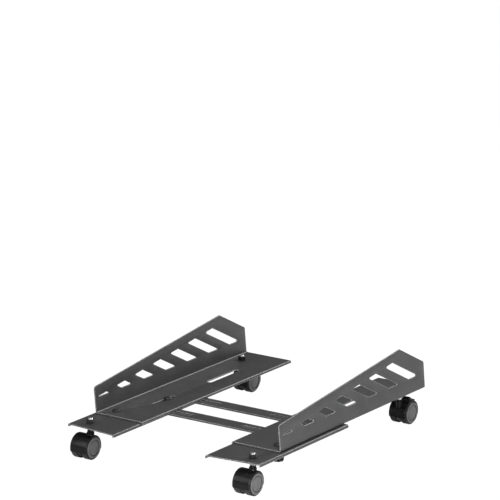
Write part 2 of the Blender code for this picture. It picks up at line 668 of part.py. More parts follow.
def caster(corner, x, y, seat, roof, carrier, heading, braked):
    """One complete caster under a sheet with lower face at seat and upper face at roof."""
    back = 1.0 if heading else -1.0
    caster_stem(corner + "_stem", (x, y, 0), carrier, seat, roof)
    washer(corner + "_stem_washer", (x, y, 0), THREAD_R, WASHER_R, seat - SLIDE_GAP, carrier)
    hex_nut(corner + "_stem_nut", (x, y, 0), THREAD_R, roof + SLIDE_GAP + STEM_NUT_HEIGHT, carrier,
            STEM_NUT_ACROSS, STEM_NUT_HEIGHT)
    swivel = empty(corner + "_swivel", (x, y, 0), carrier)
    caster_housing(corner + "_housing", (0, 0, 0), swivel, heading, braked)
    axle_spot = (0, back * TRAIL, WHEEL_R)
    axle(corner + "_axle", axle_spot, swivel)
    wheel(corner + "_wheel_right", axle_spot, swivel, 1)
    wheel(corner + "_wheel_left", axle_spot, swivel, -1)
    if braked:
        spot = (0, TRAIL + LEVER_PIN_BACK, WHEEL_R + LEVER_PIN_UP)
        brake_lever(corner + "_brake_lever", spot, swivel)
        brake_pin(corner + "_brake_pin", spot, swivel)


# ---------------------------------------------------------------- assembly

def half_stand(word, side):
    """Everything on one side: rail with its front caster, bracket with its rear caster."""
    stem_x = side * (FACE_X - STEM_INBOARD)
    rail_slide = empty(word + "_rail_slide", (0, 0, 0))
    rail("rail_" + word, side, rail_slide)
    for end, back in (("front", FRONT_BAR_BACK), ("rear", REAR_BAR_BACK)):
        spot = (side * (FACE_X - STUD_INBOARD), FRONT_Y + back, 0)
        flush_stud(f"{end}_bar_stud_{word}", spot, rail_slide)
        hex_nut(f"{end}_bar_nut_{word}", spot, BOLT_R, BAR_TOP - BAR_THICK - SLIDE_GAP, rail_slide)
    guide = (side * (FACE_X - GUIDE_INBOARD), FRONT_Y + GUIDE_BACK, 0)
    domed_bolt("guide_bolt_" + word, guide, rail_slide, BAR_TOP - NUT_HEIGHT - 3)
    hex_nut("guide_nut_" + word, guide, BOLT_R, BAR_TOP, rail_slide)
    caster("front_" + word, stem_x, FRONT_Y + STEM_BACK, RAIL_BOTTOM, DECK_Z, rail_slide, 0, False)

    bracket_slide = empty(word + "_bracket_slide", (0, 0, 0), rail_slide)
    side_bracket("side_bracket_" + word, side, bracket_slide)
    clamp = (stem_x, FRONT_Y + KNOB_BACK, 0)
    domed_bolt("clamp_bolt_" + word, clamp, bracket_slide, KNOB_BOTTOM + 4.5)
    washer("clamp_washer_" + word, clamp, BOLT_R, WASHER_R, BAR_TOP, bracket_slide)
    thumb_knob("clamp_knob_" + word, clamp, bracket_slide)
    caster("rear_" + word, stem_x, FRONT_Y + REAR_STEM_BACK, FOOT_BOTTOM, FOOT_TOP, bracket_slide,
           math.pi, True)


def main():
    clear_scene()
    cross_bar("front_cross_bar", FRONT_BAR_BACK)
    cross_bar("rear_cross_bar", REAR_BAR_BACK)
    half_stand("right", 1)
    half_stand("left", -1)


main()
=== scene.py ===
"""Looks of the rolling tower stand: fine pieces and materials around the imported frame, a pale floor,
soft studio light and the camera.

Shapes are worked out in millimetres, in the frame's axes: floor at z = 0, -Y to the front.
"""

import json
import math

import bmesh
import bpy
from mathutils import Matrix, Vector


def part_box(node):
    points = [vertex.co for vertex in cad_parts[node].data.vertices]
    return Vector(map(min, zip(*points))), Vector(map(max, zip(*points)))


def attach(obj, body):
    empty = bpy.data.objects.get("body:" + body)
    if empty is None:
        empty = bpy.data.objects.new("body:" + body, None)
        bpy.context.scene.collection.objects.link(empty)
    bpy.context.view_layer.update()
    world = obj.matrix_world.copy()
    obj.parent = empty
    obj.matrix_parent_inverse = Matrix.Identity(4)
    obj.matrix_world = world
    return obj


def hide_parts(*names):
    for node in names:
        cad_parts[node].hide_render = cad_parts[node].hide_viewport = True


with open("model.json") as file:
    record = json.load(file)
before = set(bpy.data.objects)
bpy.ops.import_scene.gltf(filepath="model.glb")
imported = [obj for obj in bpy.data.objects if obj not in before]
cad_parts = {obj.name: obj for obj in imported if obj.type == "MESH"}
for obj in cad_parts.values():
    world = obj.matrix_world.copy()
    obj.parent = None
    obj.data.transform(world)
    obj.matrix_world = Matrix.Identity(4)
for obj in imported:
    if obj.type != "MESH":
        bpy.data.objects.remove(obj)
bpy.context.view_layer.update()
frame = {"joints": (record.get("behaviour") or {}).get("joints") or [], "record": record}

MM = 0.001
BODIES = frame["record"]["behaviour"]["bodies"]
BODY_OF = {node: body for body, nodes in BODIES.items() for node in nodes}

# Sheet metal
SHEET = 2.0
SHEET_EDGE = 0.35         # rounding of every sheet edge under the powder coat
SLIDE_GAP = 0.3           # between sheets that slide on each other
FLANGE_BEND = 0.8         # inside radius of every flange bend
FLANGE_DEPTH = 5.2        # of a rail, from the deck face down
FOOT_FLANGE = 4.2         # of a bracket's foot
RAIL_END = 251.8          # rear end of a rail behind the front datum line
FRONT_SETBACK = 3.0       # outer front corner of a rail behind that line
FRONT_RAKE = 9.0          # inner front corner of a rail ahead of the outer one
BEND_R = 3.6              # outside radius of the bend between foot and side plate
NOTCH_CLEAR = 0.6         # round a cross bar where it passes the inner flange
CLAMP_TRAVEL = (15.0, 35.0)   # of the brackets, to the front and to the rear
SLOT_R = 3.5              # slots of the M6 bolts
STEM_HOLE_R = 4.3
STUD_HOLE_R = 5.1
TAIL_SLOT_R = 4.7
TAIL_SLOT = (139.0, 54.0)     # from its rear end to the rear stem, and to its front end

# Side plate: (place along the plate from its lower front corner, height above the deck)
FRONT_RISE = 46.2
FRONT_LEAN = 5.8
PEAK = (342.2, 85.3)
TAIL = (416.0, 46.9)
PLATE_LENGTH = 421.9
WINDOW_COUNT = 7
WINDOW_FLOOR = 27.3
WINDOW_RISE = 0.1245
WINDOW_APEX = -1.8
WINDOW_FIRST = 5.0
WINDOW_PITCH = 49.1
WINDOW_WIDTH = 21.7
WINDOW_SLANT = 0.52

# Casters
HOOD_THICK = 1.1
HOOD_DROP = 17.0          # degrees the hood reaches below the axle
AXLE_R = 2.5
AXLE_SHORT = 3.4          # bottom of a wheel's bore, from its outer face
WEB_HALF = 3.4            # half the thickness of the web between the wheels
CAP_R = 17.6              # raised outer face of a wheel
CAP_RISE = 2.0
DISH_R = 11.8             # low dome in that face
SOCKET_R = 5.0
SOCKET_TOP = 43.4
COLLAR_R = 4.8
COLLAR_FLANGE_R = 6.4
COLLAR_FLANGE = (47.4, 49.2)   # lower and upper face of the flange on a stem's collar
BOSS_R = 6.2              # round the stem, on the hood
EAR_R = 2.8               # ears that carry the brake pin
LEVER_GAP = (24.0, 81.0)  # opening in the hood for the lever, degrees about the axle from the rear
PIN_R = 2.4               # of a stem, inside the housing
NECK_R = 3.4
NECK_LOW = 40.0
WHEEL_ROOM = 0.1          # the room for the wheels in the boss is this much inside the hood

# Fasteners
STUD_R = 3.0              # M6 bolts and studs
STEM_R = 4.0              # M8 stems
STEM_PITCH = 1.25
STUD_PITCH = 1.0
STEM_CUT = 0.6            # depth of the threads
STUD_CUT = 0.45
BOLT_HOLE_GAP = 0.3       # round a bolt in a plain hole
WASHER_GAP = 0.2
FLAT_SHARE = 0.46         # round flat on a nut's face, as a share of its width across flats
HEAD_RISE = 2.4           # dome of a bolt head, above its rim
HEAD_RIM = 0.8

# Clamp knob
KNOB_LOBES = 8
KNOB_LOBE_DEPTH = 0.7
KNOB_TALL = 11.0          # without its hub
KNOB_EASE = 1.4
KNOB_HUB_R = 6.2

SIDEWAYS = Matrix(((0, 0, 1), (1, 0, 0), (0, 1, 0))).to_4x4()   # draws (y, z), extrudes along X
ACROSS = Matrix.Rotation(math.pi / 2, 4, "Y")   # turns a lathe about Z into one about X
ROUND = 72                # segments of a turned piece
SMOOTH = math.radians(32) # sharper edges than this stay crisp


# ---------------------------------------------------------------- from the frame

def span(node):
    """Lowest and highest corner of a CAD node, in millimetres."""
    low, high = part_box(node)
    return low / MM, high / MM


def middle(node):
    low, high = span(node)
    return (low + high) / 2


# ---------------------------------------------------------------- mesh helpers

def finish(bm, node, suffix, look, place=(0, 0, 0), smooth=SMOOTH):
    """Turn a bmesh in millimetres into the piece that stands for a CAD node and rides on its body."""
    bmesh.ops.remove_doubles(bm, verts=bm.verts, dist=1e-4)
    bmesh.ops.recalc_face_normals(bm, faces=bm.faces)
    if bm.calc_volume(signed=True) < 0:
        bmesh.ops.reverse_faces(bm, faces=bm.faces)
    bmesh.ops.scale(bm, vec=(MM, MM, MM), verts=bm.verts)
    mesh = bpy.data.meshes.new(node + suffix)
    bm.to_mesh(mesh)
    bm.free()
    mesh.shade_smooth()
    mesh.set_sharp_from_angle(angle=smooth)
    mesh.materials.append(look)
    obj = bpy.data.objects.new(node + suffix, mesh)
    obj.location = Vector(place) * MM
    bpy.context.scene.collection.objects.link(obj)
    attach(obj, BODY_OF[node])
    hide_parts(node)
    return obj


def loft(bm, rings, closed=False):
    """Join rings of equal length by quads; a ring of one point is a tip. Returns the new vertices."""
    made = [[bm.verts.new(point) for point in ring] for ring in rings]
    pairs = list(zip(made, made[1:]))
    if closed:
        pairs.append((made[-1], made[0]))
    for low, high in pairs:
        count = max(len(low), len(high))
        for index in range(count):
            following = (index + 1) % count
            corners = [low[index % len(low)], low[following % len(low)],
                       high[following % len(high)], high[index % len(high)]]
            corners = list(dict.fromkeys(corners))
            if len(corners) > 2:
                bm.faces.new(corners)
    if not closed:
        for ring in (made[0], made[-1]):
            if len(ring) > 2:
                bm.faces.new(ring)
    return [vert for ring in made for vert in ring]


def lathe(bm, profile, segments=ROUND, place=Matrix()):
    """Spin (radius, height) points about Z. A profile that starts off the axis is joined to its end."""
    closed = profile[0][0] > 0
    rings = []
    for radius, height in profile:
        if radius == 0:
            rings.append([(0.0, 0.0, height)])
            continue
        rings.append([(radius * math.cos(2 * math.pi * step / segments),
                       radius * math.sin(2 * math.pi * step / segments), height)
                      for step in range(segments)])
    verts = loft(bm, rings, closed)
    bmesh.ops.transform(bm, matrix=place, verts=verts)
    return verts


def arc(centre, radius, start, end, steps):
    """Points on an arc, angles in degrees."""
    points = []
    for step in range(steps + 1):
        angle = math.radians(start + (end - start) * step / steps)
        points.append((centre[0] + radius * math.cos(angle), centre[1] + radius * math.sin(angle)))
    return points


def rounded(corners, radii, steps=4, closed=True):
    """Replace the corners of a polygon, or of an open line, by arcs (radius 0 keeps a corner sharp)."""
    points = []
    last = len(corners) - 1
    for index, (corner, radius) in enumerate(zip(corners, radii)):
        corner = Vector(corner)
        if not radius or (not closed and index in (0, last)):
            points.append(tuple(corner))
            continue
        before = (Vector(corners[index - 1]) - corner).normalized()
        after = (Vector(corners[(index + 1) % len(corners)]) - corner).normalized()
        half = before.angle(after) / 2
        centre = corner + (before + after).normalized() * (radius / math.sin(half))
        first = corner + before * (radius / math.tan(half)) - centre
        final = corner + after * (radius / math.tan(half)) - centre
        turn = first.angle_signed(final)
        for step in range(steps + 1):
            points.append(tuple(centre + Matrix.Rotation(-turn * step / steps, 2) @ first))
    return points


def soft(profile, radius=0.3, steps=3):
    """A lathe profile with its outside corners eased by one radius."""
    radii = [radius if point[0] > 0 else 0 for point in profile]
    return rounded(profile, radii, steps, closed=profile[0][0] > 0)


def circle(centre, radius, steps=32):
    return arc(centre, radius, 0, 360, steps)[:-1]


def slot_outline(x, start, end, radius, steps=12):
    """Round-ended slot along Y."""
    return (arc((x, end - radius), radius, 0, 180, steps)
            + arc((x, start + radius), radius, 180, 360, steps))


def prism(bm, outline, low, high, place=Matrix(), edge=0.0, segments=2):
    """Extrude a flat outline from low to high along Z, ease its edges, then place it."""
    own = bmesh.new()
    bottom = [own.verts.new((x, y, low)) for x, y in outline]
    face = own.faces.new(bottom)
    grown = bmesh.ops.extrude_face_region(own, geom=[face])
    top = [item for item in grown["geom"] if isinstance(item, bmesh.types.BMVert)]
    bmesh.ops.translate(own, vec=(0, 0, high - low), verts=top)
    bmesh.ops.recalc_face_normals(own, faces=own.faces)
    if edge:
        ease(own, edge, segments)
    bmesh.ops.transform(own, matrix=place, verts=own.verts)
    add(bm, own)


def add(bm, own):
    """Move one bmesh into another."""
    carrier = bpy.data.meshes.new("carrier")
    own.to_mesh(carrier)
    own.free()
    bm.from_mesh(carrier)
    bpy.data.meshes.remove(carrier)


def ease(bm, width, segments=2, angle=50.0):
    """Round every edge sharper than an angle."""
    sharp = [edge for edge in bm.edges
             if len(edge.link_faces) == 2 and edge.calc_face_angle() > math.radians(angle)]
    bmesh.ops.bevel(bm, geom=sharp, offset=width, offset_type="OFFSET", segments=segments,
                    profile=0.5, affect="EDGES", clamp_overlap=False)


def boolean(bm, cutter, operation):
    """Cut or intersect one bmesh with another; both are used up and the result is a new one."""
    objects = []
    for part in (bm, cutter):
        bmesh.ops.recalc_face_normals(part, faces=part.faces)
        mesh = bpy.data.meshes.new("operand")
        part.to_mesh(mesh)
        part.free()
        obj = bpy.data.objects.new("operand", mesh)
        bpy.context.scene.collection.objects.link(obj)
        objects.append(obj)
    target, helper = objects
    modifier = target.modifiers.new("cut", "BOOLEAN")
    modifier.operation = operation
    modifier.object = helper
    modifier.solver = "EXACT"
    evaluated = target.evaluated_get(bpy.context.evaluated_depsgraph_get())
    result = bmesh.new()
    result.from_mesh(evaluated.to_mesh())
    evaluated.to_mesh_clear()
    for obj in objects:
        bpy.data.meshes.remove(obj.data)
    return result


# ---------------------------------------------------------------- sheet metal

def blank(outline, holes, thickness=SHEET):
    """Flat sheet from z = 0 up, with its holes, all edges rounded."""
    bm = bmesh.new()
    for loop in [outline] + holes:
        verts = [bm.verts.new((x, y, 0.0)) for x, y in loop]
        for pair in zip(verts, verts[1:] + verts[:1]):
            bm.edges.new(pair)
    bmesh.ops.triangle_fill(bm, use_beauty=True, use_dissolve=False, edges=bm.edges[:])
    grown = bmesh.ops.extrude_face_region(bm, geom=bm.faces[:])
    top = [item for item in grown["geom"] if isinstance(item, bmesh.types.BMVert)]
    bmesh.ops.translate(bm, vec=(0, 0, thickness), verts=top)
    bmesh.ops.recalc_face_normals(bm, faces=bm.faces)
    ease(bm, SHEET_EDGE, 3)
    return bm


def bent(distance, height, bends):
    """Where a point of the flat sheet goes: bends are (start, radius of the lower face, angle up)."""
    x = z = heading = here = 0.0
    for start, radius, angle in bends:
        if distance <= start:
            break
        x += (start - here) * math.cos(heading)
        z += (start - here) * math.sin(heading)
        up = math.copysign(1.0, angle)
        turned = min((distance - start) / radius, abs(angle))
        ahead = heading + up * turned
        x += up * radius * (math.sin(ahead) - math.sin(heading))
        z += up * radius * (math.cos(heading) - math.cos(ahead))
        heading = ahead
        here = start + turned * radius
    x += (distance - here) * math.cos(heading)
    z += (distance - here) * math.sin(heading)
    return x - height * math.sin(heading), z + height * math.cos(heading)


def fold(bm, outward, inward, steps=8):
    """Bend a flat sheet about lines along Y: outward bends at x > 0, inward bends at x < 0."""
    for side, bends in ((1, outward), (-1, inward)):
        for start, radius, angle in bends:
            count = max(3, round(steps * abs(angle) / math.radians(60)))
            for step in range(count + 1):
                line = side * (start + radius * abs(angle) * step / count)
                geom = bm.verts[:] + bm.edges[:] + bm.faces[:]
                bmesh.ops.bisect_plane(bm, geom=geom, dist=1e-5, plane_co=(line, 0, 0),
                                       plane_no=(1, 0, 0))
    for vert in bm.verts:
        side, bends = (1, outward) if vert.co.x >= 0 else (-1, inward)
        x, z = bent(abs(vert.co.x), vert.co.z, bends)
        vert.co.x, vert.co.z = side * x, z


def place_sheet(bm, x, y, z, side):
    """Put a folded sheet in place; the left-hand one is the mirror image of the right-hand one."""
    bmesh.ops.transform(bm, verts=bm.verts,
                        matrix=Matrix.Translation((x, y, z)) @ Matrix.Diagonal((side, 1, 1, 1)))
    if side < 0:
        bmesh.ops.reverse_faces(bm, faces=bm.faces)


def flange(face, depth):
    """Bend of a flange whose outer face is at this distance, and the flat length out to its edge."""
    start = face - SHEET - FLANGE_BEND
    quarter = math.pi / 2
    return (start, FLANGE_BEND, -quarter), start + FLANGE_BEND * quarter + depth - SHEET - FLANGE_BEND


def sides(node, side):
    """Inner and outer face of a node, as distances from the middle of the stand."""
    low, high = span(node)
    return (low.x, high.x) if side > 0 else (-high.x, -low.x)


def rail(word, side, look):
    """Rail: shallow channel with both edges turned down, notched where the cross bars pass."""
    node = "rail_" + word
    high = span(node)[1]
    inner, outer = sides(node, side)
    centre = (outer + inner) / 2
    half = (outer - inner) / 2
    bend, flat_half = flange(half, FLANGE_DEPTH)
    front = high.y - RAIL_END

    def local(other):
        """Place of another node's middle, from the rail's centre line and front datum line."""
        point = middle(other)
        return side * point.x - centre, point.y - front

    near_front = FRONT_SETBACK - FRONT_RAKE
    corners = [(-flat_half, near_front), (-half, near_front), (half, FRONT_SETBACK),
               (flat_half, FRONT_SETBACK), (flat_half, RAIL_END), (-flat_half, RAIL_END)]
    radii = [1.2, 0, 0, 1.2, 1.2, 1.2]
    cut = -half + SHEET + FLANGE_BEND + NOTCH_CLEAR
    for bar in ("rear_cross_bar", "front_cross_bar"):
        bar_low, bar_high = span(bar)
        far = bar_high.y - front + NOTCH_CLEAR
        near = bar_low.y - front - NOTCH_CLEAR
        corners += [(-flat_half, far), (cut, far), (cut, near), (-flat_half, near)]
        radii += [0.6, 0.8, 0.8, 0.6]
    outline = rounded(corners, radii, 4)

    knob_x, knob_y = local("clamp_bolt_" + word)
    holes = [circle(local(f"front_{word}_stem"), STEM_HOLE_R),
             slot_outline(knob_x, knob_y - CLAMP_TRAVEL[0] - SLOT_R, knob_y + CLAMP_TRAVEL[1] + SLOT_R,
                          SLOT_R),
             circle(local("guide_bolt_" + word), STUD_R + BOLT_HOLE_GAP)]
    for bar in ("front", "rear"):
        holes.append(circle(local(f"{bar}_bar_stud_{word}"), STUD_HOLE_R))
    bm = blank(outline, holes)
    fold(bm, [bend], [bend])
    place_sheet(bm, side * centre, front, high.z - SHEET, side)
    return finish(bm, node, "_sheet", look)


def window(index):
    """One slanted window as (place along the plate, height above the deck)."""
    front = WINDOW_FIRST + index * WINDOW_PITCH
    rear = front + WINDOW_WIDTH
    top_front = WINDOW_RISE * (front - WINDOW_APEX)
    top_rear = WINDOW_RISE * (rear - WINDOW_APEX)
    corners = [(front + top_front / WINDOW_SLANT, WINDOW_FLOOR),
               (rear + top_rear / WINDOW_SLANT, WINDOW_FLOOR),
               (rear, WINDOW_FLOOR + top_rear), (front, WINDOW_FLOOR + top_front)]
    if index == 0:
        return rounded(corners, (0.1, 0.5, 0.5, 0.1), 2)
    radius = 1.8 if index == WINDOW_COUNT - 1 else 0.9
    return rounded(corners, (radius,) * 4, 6)


def side_bracket(word, side, look):
    """Foot and windowed side plate from one sheet, with a flange over the rail's inner flange."""
    node = "side_bracket_" + word
    low, high = span(node)
    inner, face = sides(node, side)
    rail_inner, rail_outer = sides("rail_" + word, side)
    centre = (rail_inner + rail_outer) / 2
    start_y = high.y - PLATE_LENGTH
    inner_flange, flat_in = flange(centre - inner, FOOT_FLANGE)
    upright = face - centre - BEND_R
    quarter = BEND_R * math.pi / 2

    def flat(rise):
        """Distance along the flat sheet of a height above the deck on the side plate."""
        return upright + quarter + rise - SLIDE_GAP - BEND_R

    corners = [(-flat_in, 0.0), (upright, 0.0), (flat(FRONT_RISE), -FRONT_LEAN),
               (flat(PEAK[1]), PEAK[0]), (flat(TAIL[1]), TAIL[0]), (upright, PLATE_LENGTH),
               (-flat_in, PLATE_LENGTH)]
    outline = rounded(corners, (1.2, 0, 5.0, 2.5, 5.0, 0, 1.2), 8)
    holes = [[(flat(z), y) for y, z in window(index)] for index in range(WINDOW_COUNT)]

    def local(other):
        point = middle(other)
        return side * point.x - centre, point.y - start_y

    stem_spot = local(f"rear_{word}_stem")
    guide_x, guide_y = local("guide_bolt_" + word)
    holes += [circle(local("clamp_bolt_" + word), STUD_R + BOLT_HOLE_GAP),
              circle(stem_spot, STEM_HOLE_R),
              slot_outline(guide_x, guide_y - CLAMP_TRAVEL[1] - SLOT_R,
                           guide_y + CLAMP_TRAVEL[0] + SLOT_R, SLOT_R),
              slot_outline(guide_x, stem_spot[1] - TAIL_SLOT[0], stem_spot[1] - TAIL_SLOT[1],
                           TAIL_SLOT_R)]
    bm = blank(outline, holes)
    fold(bm, [(upright, BEND_R, math.pi / 2)], [inner_flange], 12)
    place_sheet(bm, side * centre, start_y, low.z + FOOT_FLANGE - SHEET, side)
    return finish(bm, node, "_sheet", look)


def cross_bar(end, look):
    """Flat strip with round-cornered ends and a long slot under each rail."""
    node = end + "_cross_bar"
    low, high = span(node)
    centre = (low + high) / 2
    half = (high - low) / 2
    stud = middle(f"{end}_bar_stud_right").x
    slide = next(joint for joint in frame["joints"] if joint["name"] == "right_width_slide")
    travel = -slide["range_m"][0] / MM
    corners = [(half.x, -half.y), (half.x, half.y), (-half.x, half.y), (-half.x, -half.y)]
    outline = rounded(corners, (4.0,) * 4, 8)
    holes = []
    for side in (1, -1):
        points = slot_outline(0.0, stud - travel - SLOT_R, stud + SLOT_R, SLOT_R)
        holes.append([(side * y, -x) for x, y in points])
    bm = blank(outline, holes, high.z - low.z)
    place_sheet(bm, centre.x, centre.y, low.z, 1)
    return finish(bm, node, "_strip", look)


# ---------------------------------------------------------------- fasteners

def thread(bm, radius, low, high, pitch, depth, place=Matrix(), segments=48):
    """Helical thread: a closed rod whose radius follows the turn, faded out at both ends."""
    rows = max(8, round((high - low) / pitch * 8))
    rings = [[(0.0, 0.0, low)]]
    for row in range(rows + 1):
        height = low + (high - low) * row / rows
        fade = min(1.0, min(height - low, high - height) / (0.8 * pitch))
        ring = []
        for step in range(segments):
            phase = (height / pitch - step / segments) % 1.0
            ridge = 1.0 - abs(2.0 * phase - 1.0)
            cut = depth * (1.0 - min(1.0, 1.25 * ridge)) + 0.35 * (1.0 - fade)
            angle = 2 * math.pi * step / segments
            ring.append(((radius - cut) * math.cos(angle), (radius - cut) * math.sin(angle), height))
        rings.append(ring)
    rings.append([(0.0, 0.0, high)])
    verts = loft(bm, rings)
    bmesh.ops.transform(bm, matrix=place, verts=verts)


def nut_body(across, low, high, bore):
    """Hexagon nut with chamfered corners on both faces and a countersunk bore."""
    corner = across / math.sqrt(3)
    hexagon = [(corner * math.cos(math.radians(60 * side)), corner * math.sin(math.radians(60 * side)))
               for side in range(6)]
    body = bmesh.new()
    prism(body, hexagon, low, high)
    flat = across * FLAT_SHARE
    drop = (corner + 0.3 - flat) * math.tan(math.radians(30))
    cone = bmesh.new()
    lathe(cone, [(0.0, low), (flat, low), (corner + 0.3, low + drop), (corner + 0.3, high - drop),
                 (flat, high), (0.0, high)], 96)
    body = boolean(body, cone, "INTERSECT")
    hole = bmesh.new()
    lathe(hole, [(0.0, low - 1), (bore + 1.6, low - 1), (bore, low + 0.6), (bore, high - 0.6),
                 (bore + 1.6, high + 1), (0.0, high + 1)], 48)
    body = boolean(body, hole, "DIFFERENCE")
    return body


def nut(node, look, bore):
    low, high = span(node)
    centre = middle(node)
    bm = nut_body(high.y - low.y, low.z, high.z, bore)
    return finish(bm, node, "_hex", look, (centre.x, centre.y, 0))


def washer(node, bore, look):
    low, high = span(node)
    centre = middle(node)
    outer = (high.y - low.y) / 2
    bm = bmesh.new()
    lathe(bm, soft([(bore, low.z), (outer, low.z), (outer, high.z), (bore, high.z)], 0.25))
    return finish(bm, node, "_ring", look, (centre.x, centre.y, 0))


def stud(node, look):
    """Pressed-in stud: flush head and a threaded shank."""
    low, high = span(node)
    centre = middle(node)
    head_r = (high.y - low.y) / 2
    bm = bmesh.new()
    head_low = high.z - 1.9
    lathe(bm, soft([(0.0, head_low), (head_r, head_low), (head_r, high.z), (0.0, high.z)], 0.2))
    thread(bm, STUD_R, low.z, high.z - 1.5, STUD_PITCH, STUD_CUT)
    return finish(bm, node, "_stud", look, (centre.x, centre.y, 0))


def domed_bolt(node, look):
    """Cup-head bolt: a low dome over a threaded shank."""
    low, high = span(node)
    centre = middle(node)
    head_r = (high.y - low.y) / 2
    seat = high.z - 3.2
    dome = [(0.0, seat), (head_r, seat), (head_r, seat + HEAD_RIM)]
    for degrees in range(8, 90, 8):
        angle = math.radians(degrees)
        dome.append((head_r * math.cos(angle), seat + HEAD_RIM + HEAD_RISE * math.sin(angle)))
    dome.append((0.0, high.z))
    bm = bmesh.new()
    lathe(bm, rounded(dome, [0, 0.25] + [0] * (len(dome) - 2), 3, closed=False))
    plain_low, plain_high = seat - 2.6, seat + 0.2
    lathe(bm, [(0.0, plain_low), (STUD_R, plain_low), (STUD_R, plain_high), (0.0, plain_high)], 48)
    thread(bm, STUD_R, low.z, seat - 2.2, STUD_PITCH, STUD_CUT)
    return finish(bm, node, "_bolt", look, (centre.x, centre.y, 0))


def knob(word, look):
    """Hand knob: eight soft lobes with eased rims, a raised hub above and a recess below."""
    node = "clamp_knob_" + word
    low, high = span(node)
    centre = middle(node)
    radius = (high.y - low.y) / 2
    segments = KNOB_LOBES * 16

    def rim(shrink, height):
        points = []
        for step in range(segments):
            angle = 2 * math.pi * step / segments
            reach = radius - KNOB_LOBE_DEPTH * (1 - math.cos(KNOB_LOBES * angle)) - shrink
            points.append((reach * math.cos(angle), reach * math.sin(angle), height))
        return points

    def inside(share, height):
        """Ring with the lobes' outline drawn in to a share of its size."""
        return [(x * share, y * share, height) for x, y, _ in rim(0, 0)]

    def ring(reach, height):
        return [(reach * math.cos(2 * math.pi * step / segments),
                 reach * math.sin(2 * math.pi * step / segments), height) for step in range(segments)]

    base, roof = low.z, low.z + KNOB_TALL
    quarter = [math.radians(90 * step / 5) for step in range(6)]
    rings = [[(0.0, 0.0, base + 1.2)], inside(0.55, base + 1.2), inside(0.62, base)]
    rings += [rim(KNOB_EASE * (1 - math.sin(angle)), base + KNOB_EASE * (1 - math.cos(angle)))
              for angle in quarter]
    rings += [rim(KNOB_EASE * (1 - math.cos(angle)), roof - KNOB_EASE * (1 - math.sin(angle)))
              for angle in quarter]
    rings.append(inside(0.78, roof + 0.1))
    rings += [ring(KNOB_HUB_R + 0.5, roof + 0.3), ring(KNOB_HUB_R, roof + 1.0),
              ring(KNOB_HUB_R, high.z - 0.4), ring(KNOB_HUB_R - 0.4, high.z)]
    rings.append([(0.0, 0.0, high.z)])
    bm = bmesh.new()
    loft(bm, rings)
    return finish(bm, node, "_grip", look, (centre.x, centre.y, 0))


# ---------------------------------------------------------------- casters

def stem(node, deck_top, look):
    """Stem: a neck down into the socket, a flanged collar and a thread above the deck."""
    low, high = span(node)
    centre = middle(node)
    collar_low = SOCKET_TOP + SLIDE_GAP
    collar_high = span(node + "_washer")[0].z - SLIDE_GAP
    flange_low, flange_high = COLLAR_FLANGE
    bm = bmesh.new()
    profile = [(0.0, low.z), (PIN_R, low.z), (PIN_R, NECK_LOW), (NECK_R, NECK_LOW + 1.0),
               (NECK_R, collar_low), (COLLAR_R, collar_low), (COLLAR_R, flange_low),
               (COLLAR_FLANGE_R, flange_low), (COLLAR_FLANGE_R, flange_high), (COLLAR_R, flange_high),
               (COLLAR_R, collar_high), (STEM_R, collar_high), (STEM_R, deck_top), (0.0, deck_top)]
    radii = (0, 0.5, 0, 0, 0, 0.5, 0.3, 0.3, 0.3, 0.2, 0.3, 0, 0, 0)
    lathe(bm, rounded(profile, radii, 4, closed=False))
    thread(bm, STEM_R, deck_top - 1.5, high.z, STEM_PITCH, STEM_CUT)
    return finish(bm, node, "_turned", look, (centre.x, centre.y, 0))


def hood(corner, look):
    """Hood over both wheels, the web between them, and the boss and socket for the stem."""
    node = corner + "_housing"
    low, high = span(node)
    stem_spot = middle(corner + "_stem")
    axle_spot = middle(corner + "_axle")
    heading = math.copysign(1.0, axle_spot.y - stem_spot.y)
    trail = abs(axle_spot.y - stem_spot.y)
    radius = (high.y - axle_spot.y) if heading > 0 else (axle_spot.y - low.y)
    half = (high.x - low.x) / 2
    centre_z = axle_spot.z
    inner = radius - HOOD_THICK

    # Shell: one cross-section swept round the axle, with eased rims
    section = rounded([(-half, inner), (half, inner), (half, radius), (-half, radius)],
                      (0.3, 0.3, 0.8, 0.8), 5)
    rings = []
    steps = 64
    for step in range(steps + 1):
        angle = math.radians(-HOOD_DROP + (180 + 2 * HOOD_DROP) * step / steps)
        rings.append([(x, r * math.cos(angle), centre_z + r * math.sin(angle)) for x, r in section])
    shell = bmesh.new()
    loft(shell, rings)
    bmesh.ops.recalc_face_normals(shell, faces=shell.faces)
    ease(shell, 0.3, 2, 60)
    if heading > 0:
        shell = boolean(shell, lever_opening(corner, axle_spot, radius), "DIFFERENCE")
    bm = bmesh.new()
    add(bm, shell)

    # Web between the wheels
    fin = arc((0, centre_z), inner - 0.2, -12, 192, 40) + arc((0, centre_z), AXLE_R + 4, 200, 340, 12)
    prism(bm, fin, -WEB_HALF, WEB_HALF, SIDEWAYS, 0.4)

    # Boss for the stem, cut clear of the wheels under it, with the round socket on top
    local = Matrix.Translation((0, -heading * trail, 0))
    boss = bmesh.new()
    profile = [(0.0, centre_z + 8), (BOSS_R, centre_z + 8), (BOSS_R, SOCKET_TOP - 3.4),
               (SOCKET_R, SOCKET_TOP - 2.2), (SOCKET_R, SOCKET_TOP), (0.0, SOCKET_TOP)]
    lathe(boss, rounded(profile, (0, 0, 1.4, 0.8, 0.5, 0), 4, closed=False), 64, local)
    for side in (1, -1):
        wheel_room = bmesh.new()
        ends = sorted((side * WEB_HALF, side * half))
        room = circle((0, centre_z), inner - WHEEL_ROOM, 96)
        prism(wheel_room, room, ends[0], ends[1], SIDEWAYS)
        boss = boolean(boss, wheel_room, "DIFFERENCE")
    add(bm, boss)
    if heading > 0:
        brake_ears(bm, corner, axle_spot, radius)
    return finish(bm, node, "_hood", look, (axle_spot.x, axle_spot.y, 0))


